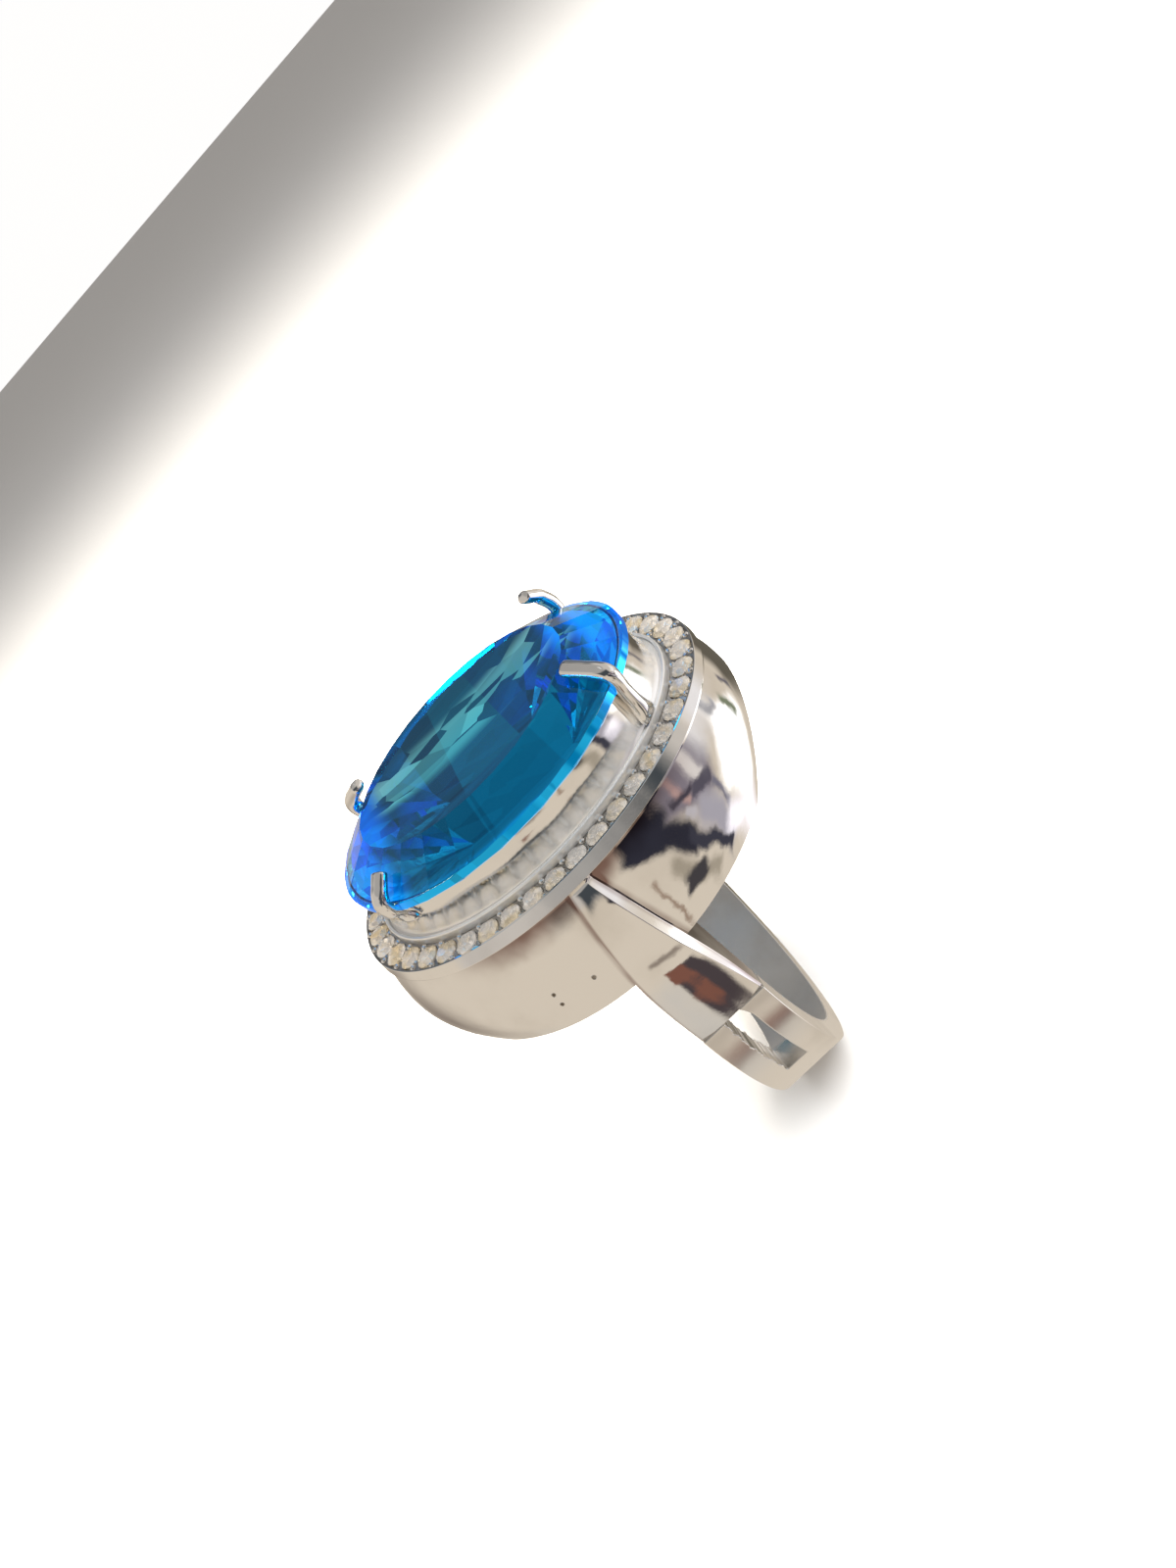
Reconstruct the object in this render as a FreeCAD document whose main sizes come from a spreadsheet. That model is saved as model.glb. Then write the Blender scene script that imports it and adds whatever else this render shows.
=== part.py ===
import FreeCAD, Part
import Sketcher
import math
import os

# Cocktail ring: a large oval stone in a tall collar with four claws, a halo of small round stones,
# a domed hollow head open to the finger, two shoulder straps and a lower shank with a window each side.
# The finger lies along Y, +Z runs up through the stone, and the origin is the middle of the finger hole.

doc = FreeCAD.newDocument("cocktail_ring")
sheet = doc.addObject("Spreadsheet::Sheet", "Sizes")

sizes = {
    # finger hole and band
    "finger_radius": 9.1,
    "band_wall": 1.3,
    "band_width": 3.8,
    "band_edge": 0.2,
    "seam_height": 1.6,
    "window_width": 1.25,
    "window_drop": 5.6,
    # domed head: its rim under the halo, then four oval sections below the rim, each given by
    # how far it lies below the rim and how far it stands out from the rim's ends and sides
    "rim_height": 11.5,
    "rim_inset_end": 0.13,
    "rim_outset_side": 0.1,
    "shoulder_drop": 1.3,
    "shoulder_out_end": 0.4,
    "shoulder_out_side": 0.6,
    "belly_drop": 2.7,
    "belly_out_end": 0.55,
    "belly_out_side": 1.05,
    "flank_drop": 3.9,
    "flank_out_end": 0.35,
    "flank_out_side": 1.3,
    "foot_drop": 5.0,
    "foot_out_end": -0.15,
    "foot_out_side": 1.35,
    "head_lean": 0.3,
    "head_wall": 0.9,
    "arch_relief": 0.2,
    "cut_clear": 1.0,
    # shoulder straps: how far they stand out from the head, and half their width, level by level
    "strap_top_out": 0.6,
    "strap_top_half": 0.65,
    "strap_neck_out": 0.7,
    "strap_neck_half": 0.98,
    "strap_waist_out": 0.625,
    "strap_waist_half": 1.33,
    "strap_foot_out": 0.63,
    "strap_foot_half": 1.6,
    "strap_leg_drop": 2.3,
    "strap_leg_in": 0.18,
    "strap_leg_half": 1.8,
    "strap_bevel": 0.55,
    "strap_edge": 0.12,
    "strap_bed": 0.45,
    "strap_lap": 1.95,
    "web_rise": 0.7,
    "web_reach": 5.2,
    # halo channel
    "tray_thickness": 0.55,
    "tray_lip_end": 0.95,
    "tray_lip_side": 0.9,
    "channel_end": 1.41,
    "channel_side": 1.38,
    "outer_rim_height": 0.8,
    "outer_rim_top_end": 0.09,
    "outer_rim_top_side": 0.14,
    "outer_rim_edge_height": 0.35,
    "outer_rim_edge_end": 0.17,
    "outer_rim_edge_side": 0.6,
    "outer_rim_foot_end": 0.12,
    "outer_rim_foot_side": 0.25,
    "inner_rim_wall": 0.22,
    "inner_rim_height": 0.42,
    "halo_stone_radius": 0.6,
    "halo_stone_crown": 0.2,
    "halo_stone_depth": 0.5,
    "halo_stone_edge": 0.05,
    "halo_stone_gap": 0.1,
    "halo_seat_gap": 0.03,
    "halo_table_share": 0.58,
    "grain_radius": 0.17,
    # collar: where its foot and its top lie against the stone's outline
    "collar_foot_out_end": 0.1,
    "collar_foot_in_side": 0.35,
    "collar_top_in_end": 0.4,
    "collar_top_in_side": 0.25,
    "collar_wall": 0.7,
    "collar_gap": 0.1,
    # centre stone
    "stone_half_length": 9.15,
    "stone_half_width": 7.35,
    "stone_rise": 3.05,
    "stone_edge": 0.4,
    "stone_crown": 1.15,
    "stone_depth": 5.3,
    "table_share": 0.72,
    "keel_half": 2.6,
    "star_steepness": 0.62,
    "star_spread": 0.985,
    "upper_half_steepness": 1.35,
    "lower_half_steepness": 1.12,
    "seat_depth": 1.3,
    "seat_gap": 0.03,
    "seat_slope": 0.9,
    # claws
    "claw_turn": 40.0,
    "claw_width": 0.95,
    "claw_thickness": 0.66,
    "claw_foot": 0.5,
    "claw_foot_height": 0.55,
    "claw_reach": 1.75,
    "claw_rise": 0.95,
    "claw_edge": 0.14,
    "claw_shoulder": 0.56,
    "claw_lap": 0.23,
    "claw_tip_run": 0.25,
    "claw_tip_height": 0.4,
}

for row, (word, value) in enumerate(sizes.items(), start=1):
    sheet.set(f"A{row}", word)
    sheet.set(f"B{row}", str(value))
    sheet.setAlias(f"B{row}", word)
doc.recompute()


def size(word):
    return float(sheet.get(word))


def bind(item, **expressions):
    for name, expression in expressions.items():
        item.setExpression(name.replace("__", "."), expression)


def label(item, name):
    item.Label = name
    nodes.append(item)
    return item


nodes = []
yAxis = FreeCAD.Vector(0, 1, 0)
zAxis = FreeCAD.Vector(0, 0, 1)
quarterTurn = FreeCAD.Rotation(zAxis, 90)
alongFinger = FreeCAD.Rotation(FreeCAD.Vector(1, 0, 0), -90)


# ---- helpers for oval solids and boxes, all bound to the sheet ----


def oval(name, halfLength, halfWidth, height, shift="0"):
    """A level ellipse, whose longer axis lies along the finger or, if the width is larger, across it."""
    item = doc.addObject("Part::Ellipse", name)
    item.Placement.Rotation = quarterTurn
    long = f"max({halfLength}; {halfWidth})"
    short = f"min({halfLength}; {halfWidth})"
    bind(item, MajorRadius=long, MinorRadius=short)
    item.setExpression("Placement.Rotation.Angle", f"{halfLength} < {halfWidth} ? 0 : 90")
    item.setExpression("Placement.Base.z", height)
    item.setExpression("Placement.Base.y", shift)
    return item


def loft(name, sections, ruled=False):
    item = doc.addObject("Part::Loft", name)
    item.Sections = sections
    item.Solid = True
    item.Ruled = ruled
    return item


def ovalSolid(name, lower, upper):
    """A straight-sided oval solid; each end is (half length, half width, height)."""
    return loft(name, [oval(name + "_low", *lower), oval(name + "_high", *upper)], ruled=True)


def cut(name, base, tool):
    item = doc.addObject("Part::Cut", name)
    item.Base = base
    item.Tool = tool
    return item


def fuse(name, first, second):
    item = doc.addObject("Part::Fuse", name)
    item.Base = first
    item.Tool = second
    return item


def block(name, length, width, height, x, y, z):
    item = doc.addObject("Part::Box", name)
    bind(item, Length=length, Width=width, Height=height)
    item.setExpression("Placement.Base.x", x)
    item.setExpression("Placement.Base.y", y)
    item.setExpression("Placement.Base.z", z)
    return item


def fingerCylinder(name, radius, length):
    """A cylinder along the finger, centred on the origin."""
    item = doc.addObject("Part::Cylinder", name)
    item.Placement.Rotation = alongFinger
    bind(item, Radius=radius, Height=length)
    item.setExpression("Placement.Base.y", f"-({length}) / 2")
    return item


def evaluate(expression):
    return float(sheet.evalExpression(expression))


def polygonSketch(item, points):
    """Draws a closed outline whose corners are held by expressions, each (across, up)."""
    count = len(points)
    starts = [FreeCAD.Vector(evaluate(a), evaluate(b), 0) for a, b in points]
    for index in range(count):
        item.addGeometry(Part.LineSegment(starts[index], starts[(index + 1) % count]))
    for index in range(count):
        item.addConstraint(Sketcher.Constraint("Coincident", index, 2, (index + 1) % count, 1))
    for index, (across, up) in enumerate(points):
        for kind, expression in (("DistanceX", across), ("DistanceY", up)):
            value = evaluate(expression)
            number = item.addConstraint(Sketcher.Constraint(kind, -1, 1, index, 1, value))
            item.setExpression(f"Constraints[{number}]", expression)


# ---- sizes that follow from others: the stone sets the collar, then the channel, then the head ----

collarFootLength = "(Sizes.stone_half_length + Sizes.collar_foot_out_end)"
collarFootWidth = "(Sizes.stone_half_width - Sizes.collar_foot_in_side)"
collarTopLength = "(Sizes.stone_half_length - Sizes.collar_top_in_end)"
collarTopWidth = "(Sizes.stone_half_width - Sizes.collar_top_in_side)"
channelLength = f"({collarFootLength} + Sizes.inner_rim_wall)"
channelWidth = f"({collarFootWidth} + Sizes.inner_rim_wall)"
haloLength = f"({channelLength} + Sizes.channel_end)"
haloWidth = f"({channelWidth} + Sizes.channel_side)"
levelHeight = {"rim": "Sizes.rim_height"}
levelLength = {"rim": f"({haloLength} - Sizes.rim_inset_end)"}
levelWidth = {"rim": f"({haloWidth} + Sizes.rim_outset_side)"}
for level in ("shoulder", "belly", "flank", "foot"):
    levelHeight[level] = f"(Sizes.rim_height - Sizes.{level}_drop)"
    levelLength[level] = f"({levelLength['rim']} + Sizes.{level}_out_end)"
    levelWidth[level] = f"({levelWidth['rim']} + Sizes.{level}_out_side)"
trayTop = "(Sizes.rim_height + Sizes.tray_thickness)"
stoneHeight = f"({trayTop} + Sizes.stone_rise)"


# ---- head shell: a domed wall between two smooth lofts, with the finger hole cut through its foot ----

leans = {"rim": "0", "shoulder": "0.4", "belly": "0.8", "flank": "1", "foot": "1"}


def domeLoft(name, inset):
    sections = []
    for level, lean in leans.items():
        sections.append(oval(
            name + "_" + level,
            f"{levelLength[level]} - {inset}",
            f"{levelWidth[level]} - {inset}",
            levelHeight[level],
            f"-Sizes.head_lean * {lean}",
        ))
    return loft(name, sections)


domeOuter = domeLoft("dome_outer", "0")
domeInner = domeLoft("dome_inner", "Sizes.head_wall")
throughHead = f"4 * {levelLength['rim']}"
archHole = fingerCylinder("arch_hole", "Sizes.finger_radius + Sizes.arch_relief", throughHead)
headShell = cut("head_shell_solid", cut("dome_wall", domeOuter, domeInner), archHole)
label(headShell, "head_shell")


# ---- lower shank: a round-edged band turned about the finger, cut off at the seam, with two windows ----

lowerBody = doc.addObject("PartDesign::Body", "band_body")
bandPlane = [o for o in lowerBody.Origin.OriginFeatures if o.Role == "YZ_Plane"][0]
bandSketch = lowerBody.newObject("Sketcher::SketchObject", "band_section")
bandSketch.AttachmentSupport = [(bandPlane, "")]
bandSketch.MapMode = "FlatFace"
halfBand = "Sizes.band_width / 2"
bandTop = "Sizes.finger_radius + Sizes.band_wall"
polygonSketch(bandSketch, [
    (f"-{halfBand}", "Sizes.finger_radius"),
    (f"{halfBand}", "Sizes.finger_radius"),
    (f"{halfBand}", f"{bandTop} - Sizes.band_edge"),
    (f"{halfBand} - Sizes.band_edge", bandTop),
    (f"-{halfBand} + Sizes.band_edge", bandTop),
    (f"-{halfBand}", f"{bandTop} - Sizes.band_edge"),
])
band = lowerBody.newObject("PartDesign::Revolution", "band_ring")
band.Profile = bandSketch
band.ReferenceAxis = (bandSketch, ["H_Axis"])
band.Angle = 360
lowerBody.Tip = band
doc.recompute()

reach = "2 * (Sizes.finger_radius + Sizes.band_wall)"
aboveSeam = block(
    "above_seam", f"2 * {reach}", reach, reach,
    f"-{reach}", f"-{reach} / 2", "Sizes.seam_height",
)
windows = block(
    "window_cutter", f"2 * {reach}", "Sizes.window_width", "Sizes.window_drop + Sizes.cut_clear",
    f"-{reach}", "-Sizes.window_width / 2", "Sizes.seam_height - Sizes.window_drop",
)
lowerShank = cut("lower_shank_solid", cut("band_below_seam", lowerBody, aboveSeam), windows)
label(lowerShank, "lower_shank")


# ---- shoulder straps: they stand proud of the head, taper to its rim and carry on the band ----


def strapSection(name, height, reachOut, half, bed, bevel):
    """One level of the strap, cut off at the corner that faces the fingertip."""
    item = doc.addObject("Sketcher::SketchObject", name)
    polygonSketch(item, [
        (bed, f"-{half}"),
        (f"{reachOut} - Sizes.strap_edge", f"-{half}"),
        (reachOut, f"-{half} + Sizes.strap_edge"),
        (reachOut, f"{half} - {bevel}"),
        (f"{reachOut} - {bevel}", half),
        (bed, half),
    ])
    item.setExpression("Placement.Base.z", height)
    return item


seamReach = "sqrt((Sizes.finger_radius + Sizes.band_wall)^2 - Sizes.seam_height^2)"
footReach = f"({levelWidth['foot']} + Sizes.strap_foot_out)"
waistHeight = f"(({levelHeight['flank']} + {levelHeight['belly']}) / 2)"
waistWidth = f"(({levelWidth['flank']} + {levelWidth['belly']}) / 2)"
strapLevels = [
    ("seam", "Sizes.seam_height", seamReach, halfBand,
     f"{seamReach} - Sizes.strap_lap", "Sizes.strap_edge"),
    ("leg", f"({levelHeight['foot']} - Sizes.strap_leg_drop)",
     f"({footReach} - Sizes.strap_leg_in)", "Sizes.strap_leg_half",
     f"{seamReach} - Sizes.band_wall", "Sizes.strap_bevel / 2"),
    ("foot", levelHeight["foot"], footReach, "Sizes.strap_foot_half",
     f"{levelWidth['foot']} - Sizes.strap_bed", "Sizes.strap_bevel"),
    ("waist", waistHeight, f"({waistWidth} + Sizes.strap_waist_out)", "Sizes.strap_waist_half",
     f"{waistWidth} - Sizes.strap_bed", "Sizes.strap_bevel"),
    ("neck", levelHeight["shoulder"],
     f"({levelWidth['shoulder']} + Sizes.strap_neck_out)", "Sizes.strap_neck_half",
     f"{levelWidth['shoulder']} - Sizes.strap_bed", "Sizes.strap_bevel"),
    ("top", levelHeight["rim"],
     f"({levelWidth['rim']} + Sizes.strap_top_out)", "Sizes.strap_top_half",
     f"{levelWidth['rim']} - Sizes.strap_bed", "Sizes.strap_bevel / 2"),
]
strapSections = [strapSection("strap_" + word, *rest) for word, *rest in strapLevels]
strapBlade = loft("strap_blade", strapSections)
strapWeb = block(
    "strap_web", f"{levelWidth['foot']} - Sizes.web_reach", "2 * Sizes.strap_foot_half",
    f"{levelHeight['foot']} + Sizes.web_rise - Sizes.seam_height",
    "Sizes.web_reach", "-Sizes.strap_foot_half", "Sizes.seam_height",
)
fingerHole = fingerCylinder("finger_hole", "Sizes.finger_radius", throughHead)
strapRaw = cut("strap_on_finger", fuse("strap_blank", strapBlade, strapWeb), fingerHole)
strapRight = cut("strap_right_solid", strapRaw, cut("dome_wall_for_strap", domeOuter, domeInner))
label(strapRight, "shoulder_strap_right")
strapLeft = doc.addObject("Part::Mirroring", "strap_left_solid")
strapLeft.Source = strapRight
strapLeft.Normal = FreeCAD.Vector(1, 0, 0)
label(strapLeft, "shoulder_strap_left")


# ---- halo channel: a flat oval tray with a thin inner rim and a tapering outer rim ----

trayOuter = ovalSolid(
    "tray_outer",
    (haloLength, haloWidth, "Sizes.rim_height"),
    (haloLength, haloWidth, trayTop),
)
trayBoreLength = f"{collarFootLength} - Sizes.tray_lip_end"
trayBoreWidth = f"{collarFootWidth} - Sizes.tray_lip_side"
trayBore = ovalSolid(
    "tray_bore",
    (trayBoreLength, trayBoreWidth, "Sizes.rim_height - Sizes.cut_clear"),
    (trayBoreLength, trayBoreWidth, f"{trayTop} + Sizes.cut_clear"),
)
trayPlate = cut("tray_plate", trayOuter, trayBore)

rimTop = "(Sizes.rim_height + Sizes.outer_rim_height)"
rimSections = []
for word, height in (
    ("foot", "Sizes.rim_height"),
    ("edge", "Sizes.rim_height + Sizes.outer_rim_edge_height"),
    ("top", rimTop),
):
    rimSections.append(oval(
        "outer_rim_" + word,
        f"{haloLength} + Sizes.outer_rim_{word}_end",
        f"{haloWidth} + Sizes.outer_rim_{word}_side",
        height,
    ))
outerRimOuter = loft("outer_rim_outer", rimSections, ruled=True)
outerRimHole = ovalSolid(
    "outer_rim_hole",
    (haloLength, haloWidth, "Sizes.rim_height - Sizes.cut_clear"),
    (haloLength, haloWidth, f"{rimTop} + Sizes.cut_clear"),
)
outerRim = cut("outer_rim_solid", outerRimOuter, outerRimHole)
label(outerRim, "halo_outer_rim")

innerRimTop = f"({trayTop} + Sizes.inner_rim_height)"
innerRimOuter = ovalSolid(
    "inner_rim_outer",
    (channelLength, channelWidth, trayTop),
    (channelLength, channelWidth, innerRimTop),
)
innerRimHole = ovalSolid(
    "inner_rim_hole",
    (collarFootLength, collarFootWidth, f"{trayTop} - Sizes.cut_clear"),
    (collarFootLength, collarFootWidth, f"{innerRimTop} + Sizes.cut_clear"),
)
innerRim = cut("inner_rim_solid", innerRimOuter, innerRimHole)
label(innerRim, "halo_inner_rim")


# ---- stones: each is a straight-walled blank trimmed by one half-space per facet ----


stoneCornerCount = 48
haloStoneCornerCount = 16


def trim(solid, normal, point):
    """Takes away everything on the side of a plane that its normal points to."""
    reachAll = 60.0
    turn = FreeCAD.Rotation(zAxis, normal)
    corner = turn.multVec(FreeCAD.Vector(-reachAll / 2, -reachAll / 2, 0))
    waste = Part.makeBox(reachAll, reachAll, reachAll)
    waste.Placement = FreeCAD.Placement(point + corner, turn)
    return solid.cut(waste)


def ovalBlank(halfLength, halfWidth, low, high, corners):
    """A prism on an oval outline, standing between two heights."""
    points = []
    for index in range(corners + 1):
        turn = 2 * math.pi * index / corners
        points.append(FreeCAD.Vector(halfWidth * math.sin(turn), halfLength * math.cos(turn), low))
    face = Part.Face(Part.makePolygon(points))
    return face.extrude(FreeCAD.Vector(0, 0, high - low))


def facet(solid, halfLength, halfWidth, turn, edge, share, rise):
    """Cuts a facet that meets the given share of the outline at the edge height.

    It would climb by rise, or drop if rise is negative, from the outline to the middle.
    """
    across = math.sin(turn) / halfWidth
    along = math.cos(turn) / halfLength
    side = 1 if rise > 0 else -1
    normal = FreeCAD.Vector(across * abs(rise), along * abs(rise), side)
    point = FreeCAD.Vector(0, 0, edge + rise * share)
    return trim(solid, normal, point)


def ovalBrilliant():
    """An oval brilliant with a keel.

    Above the edge it has a table, stars, mains and halves, and below it mains and halves.
    """
    length = size("stone_half_length")
    width = size("stone_half_width")
    crown = size("stone_crown")
    depth = size("stone_depth")
    table = size("table_share")
    keel = size("keel_half") / length
    top = size("stone_edge") / 2
    solid = ovalBlank(length, width, -top - depth, top + crown, stoneCornerCount)
    eighth = math.pi / 4
    climb = crown / (1 - table)
    half = math.cos(eighth / 4)
    for index in range(8):
        turn = eighth * index
        solid = facet(solid, length, width, turn, top, 1, climb)
        starTurn = turn + eighth / 2
        starRise = climb * size("star_steepness")
        starShare = (crown / starRise) + table * math.cos(eighth / 2) * size("star_spread")
        solid = facet(solid, length, width, starTurn, top, starShare, starRise)
        deepen = 1 / (1 - keel * abs(math.cos(turn)))
        solid = facet(solid, length, width, turn, -top, 1, -depth * deepen)
    for index in range(16):
        turn = eighth / 2 * (index + 0.5)
        solid = facet(solid, length, width, turn, top, half, climb * size("upper_half_steepness"))
        deepen = size("lower_half_steepness") / (1 - keel * abs(math.cos(turn)))
        solid = facet(solid, length, width, turn, -top, half, -depth * deepen)
    return solid


def smallBrilliant():
    """A single-cut round stone whose girdle is at height 0."""
    radius = size("halo_stone_radius")
    crown = size("halo_stone_crown")
    depth = size("halo_stone_depth")
    edge = size("halo_stone_edge")
    climb = crown / (1 - size("halo_table_share"))
    solid = ovalBlank(radius, radius, -edge / 2 - depth, edge / 2 + crown, haloStoneCornerCount)
    for index in range(8):
        turn = math.pi / 4 * index
        solid = facet(solid, radius, radius, turn, edge / 2, 1, climb)
        solid = facet(solid, radius, radius, turn, -edge / 2, 1, -depth)
    return solid


stone = doc.addObject("Part::Feature", "center_stone_solid")
stone.Shape = ovalBrilliant()
stone.Placement = FreeCAD.Placement(FreeCAD.Vector(0, 0, evaluate(stoneHeight)), FreeCAD.Rotation())
label(stone, "center_stone")


# ---- halo stones: evenly spaced along the middle of the channel, with grains between them ----

innerLength = evaluate(channelLength)
innerWidth = evaluate(channelWidth)
outerLength = evaluate(haloLength)
outerWidth = evaluate(haloWidth)
middleLength = (innerLength + outerLength) / 2
middleWidth = (innerWidth + outerWidth) / 2
trayTopHeight = evaluate(trayTop)


def ovalPoint(halfLength, halfWidth, turn, height):
    return FreeCAD.Vector(halfWidth * math.sin(turn), halfLength * math.cos(turn), height)


def outward(halfLength, halfWidth, turn):
    """The level direction square to the oval at this turn."""
    normal = FreeCAD.Vector(math.sin(turn) / halfWidth, math.cos(turn) / halfLength, 0)
    return normal.normalize()


def evenTurns(halfLength, halfWidth, pitch):
    """Turns that divide the oval into equal steps no shorter than the pitch, starting half a step in."""
    fine = 3600
    lengths = [0.0]
    for index in range(fine):
        here = ovalPoint(halfLength, halfWidth, 2 * math.pi * index / fine, 0)
        there = ovalPoint(halfLength, halfWidth, 2 * math.pi * (index + 1) / fine, 0)
        lengths.append(lengths[-1] + (there - here).Length)
    count = int(lengths[-1] / pitch)
    turns = []
    for step in range(2 * count):
        wanted = lengths[-1] * (step + 0.5) / (2 * count)
        index = next(i for i, value in enumerate(lengths) if value >= wanted)
        turns.append(2 * math.pi * (index - 0.5) / fine)
    return turns[0::2], turns[1::2]


stonePitch = 2 * size("halo_stone_radius") + size("halo_stone_gap")
stoneTurns, grainTurns = evenTurns(middleLength, middleWidth, stonePitch)
smallStone = smallBrilliant()
girdleHeight = trayTopHeight + size("halo_stone_edge") / 2
seatRadius = size("halo_stone_radius") + size("halo_seat_gap")
seatDepth = size("halo_stone_depth") * seatRadius / size("halo_stone_radius")
seats = []
for number, turn in enumerate(stoneTurns, start=1):
    place = ovalPoint(middleLength, middleWidth, turn, girdleHeight)
    haloStone = doc.addObject("Part::Feature", f"halo_stone_{number:02d}_solid")
    haloStone.Shape = smallStone.copy()
    direction = outward(middleLength, middleWidth, turn)
    haloStone.Placement = FreeCAD.Placement(place, FreeCAD.Rotation(yAxis, direction))
    label(haloStone, f"halo_stone_{number:02d}")
    foot = FreeCAD.Vector(place.x, place.y, trayTopHeight - seatDepth)
    seats.append(Part.makeCone(0, seatRadius * 2, seatDepth * 2, foot))

seatCones = doc.addObject("Part::Feature", "halo_seat_cones")
seatCones.Shape = Part.makeCompound(seats)
tray = cut("halo_tray_solid", trayPlate, seatCones)
label(tray, "halo_tray")

for name, length, width, side in (
    ("halo_inner_grains", innerLength, innerWidth, 1),
    ("halo_outer_grains", outerLength, outerWidth, -1),
):
    grains = []
    for turn in grainTurns:
        offset = outward(length, width, turn) * (side * size("grain_radius"))
        place = ovalPoint(length, width, turn, trayTopHeight) + offset
        grains.append(Part.makeSphere(size("grain_radius"), place, zAxis, 0, 90, 360))
    grainNode = doc.addObject("Part::Feature", name + "_solid")
    grainNode.Shape = Part.makeCompound(grains)
    label(grainNode, name)


# ---- collar: a tall oval wall on the tray, bevelled inside its top edge to seat the stone ----

girdleLow = f"({stoneHeight} - Sizes.stone_edge / 2)"
collarTop = f"({girdleLow} - Sizes.collar_gap)"
collarCore = ovalSolid(
    "collar_core",
    (collarFootLength, collarFootWidth, trayTop),
    (collarTopLength, collarTopWidth, collarTop),
)
collarBore = ovalSolid(
    "collar_bore",
    (f"{collarFootLength} - Sizes.collar_wall", f"{collarFootWidth} - Sizes.collar_wall",
     f"{trayTop} - Sizes.seat_gap"),
    (f"{collarTopLength} - Sizes.collar_wall", f"{collarTopWidth} - Sizes.collar_wall",
     f"{collarTop} + Sizes.seat_gap"),
)
endDepth = "(Sizes.stone_depth / (1 - Sizes.keel_half / Sizes.stone_half_length))"
seatDrop = "Sizes.seat_slope * Sizes.seat_depth"
seatBevel = ovalSolid(
    "seat_bevel",
    (f"Sizes.stone_half_length * (1 - {seatDrop} / {endDepth}) + Sizes.seat_gap",
     f"Sizes.stone_half_width * (1 - {seatDrop} / Sizes.stone_depth) + Sizes.seat_gap",
     f"{girdleLow} - Sizes.seat_depth"),
    ("Sizes.stone_half_length + Sizes.seat_gap",
     "Sizes.stone_half_width + Sizes.seat_gap", girdleLow),
)
collar = cut("collar_solid", cut("collar_wall_tube", collarCore, collarBore), seatBevel)
label(collar, "stone_collar")


# ---- claws: a bent strip rises from the collar wall and folds over the stone ----

clawBlockers = fuse("collar_and_stone", collarCore, stone)
clawTops = f"({stoneHeight} + Sizes.stone_edge / 2)"
clawLow = f"({innerRimTop} + Sizes.claw_foot_height)"
clawBack = f"{clawTops} + Sizes.claw_rise + Sizes.claw_tip_height"
clawOutline = [
    ("-Sizes.claw_thickness", clawLow),
    ("Sizes.claw_foot - Sizes.claw_tip_run", clawLow),
    ("Sizes.claw_foot", f"{clawLow} + Sizes.claw_tip_height"),
    ("Sizes.claw_shoulder", girdleLow),
    ("Sizes.claw_shoulder", clawTops),
    ("Sizes.claw_lap", f"{clawTops} + Sizes.claw_tip_height"),
    ("-Sizes.claw_reach + Sizes.claw_tip_run", clawBack),
    ("-Sizes.claw_reach", f"{clawBack} - Sizes.claw_tip_height / 2"),
    ("-Sizes.claw_reach", f"{clawBack} - Sizes.claw_thickness - Sizes.claw_tip_height / 3"),
    ("-Sizes.claw_thickness", girdleLow),
]


def clawNode(name, signX, signY):
    body = doc.addObject("PartDesign::Body", name + "_body")
    plane = [o for o in body.Origin.OriginFeatures if o.Role == "XZ_Plane"][0]
    outline = body.newObject("Sketcher::SketchObject", name + "_outline")
    outline.AttachmentSupport = [(plane, "")]
    outline.MapMode = "FlatFace"
    polygonSketch(outline, clawOutline)
    strip = body.newObject("PartDesign::Pad", name + "_strip")
    strip.Profile = outline
    strip.Midplane = True
    bind(strip, Length="Sizes.claw_width")
    body.Tip = strip
    doc.recompute()
    rounded = body.newObject("PartDesign::Chamfer", name + "_edges")
    outer = []
    for number, edge in enumerate(strip.Shape.Edges, start=1):
        middle = edge.CenterOfMass
        ends = [v.Point for v in edge.Vertexes]
        runsAlong = abs(ends[0].y - ends[1].y) < 1e-6
        above = middle.z > evaluate(clawTops) or middle.x > 0
        if runsAlong and above and middle.z > evaluate(clawLow) + size("seat_gap"):
            outer.append(f"Edge{number}")
    rounded.Base = (strip, outer)
    bind(rounded, Size="Sizes.claw_edge")
    body.Tip = rounded
    turn = math.radians(size("claw_turn"))
    length = size("stone_half_length")
    width = size("stone_half_width")
    base = ovalPoint(length, width, turn, 0)
    normal = outward(length, width, turn)
    angle = math.degrees(math.atan2(signY * normal.y, signX * normal.x))
    body.Placement = FreeCAD.Placement(
        FreeCAD.Vector(signX * base.x, signY * base.y, 0), FreeCAD.Rotation(zAxis, angle)
    )
    label(cut(name + "_solid", body, clawBlockers), name)


clawNode("claw_tip_right", 1, 1)
clawNode("claw_tip_left", -1, 1)
clawNode("claw_knuckle_left", -1, -1)
clawNode("claw_knuckle_right", 1, -1)


# ---- check every object, then write one file per node ----

doc.recompute()
faults = [o.Name for o in doc.Objects if "Invalid" in o.State or "Error" in o.State]
for node in nodes:
    if node.Shape.isNull() or not node.Shape.isValid():
        faults.append(node.Label)
if faults:
    raise SystemExit("faulty objects: " + ", ".join(faults))

os.makedirs("parts", exist_ok=True)
for node in nodes:
    node.Shape.exportStep(f"parts/{node.Label}.step")
    print(node.Label, len(node.Shape.Solids), "solids", round(node.Shape.Volume, 3), "mm3")
print(len(nodes), "nodes")
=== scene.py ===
import math
import random
import bmesh
import bpy
from mathutils import Matrix, Vector


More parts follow.
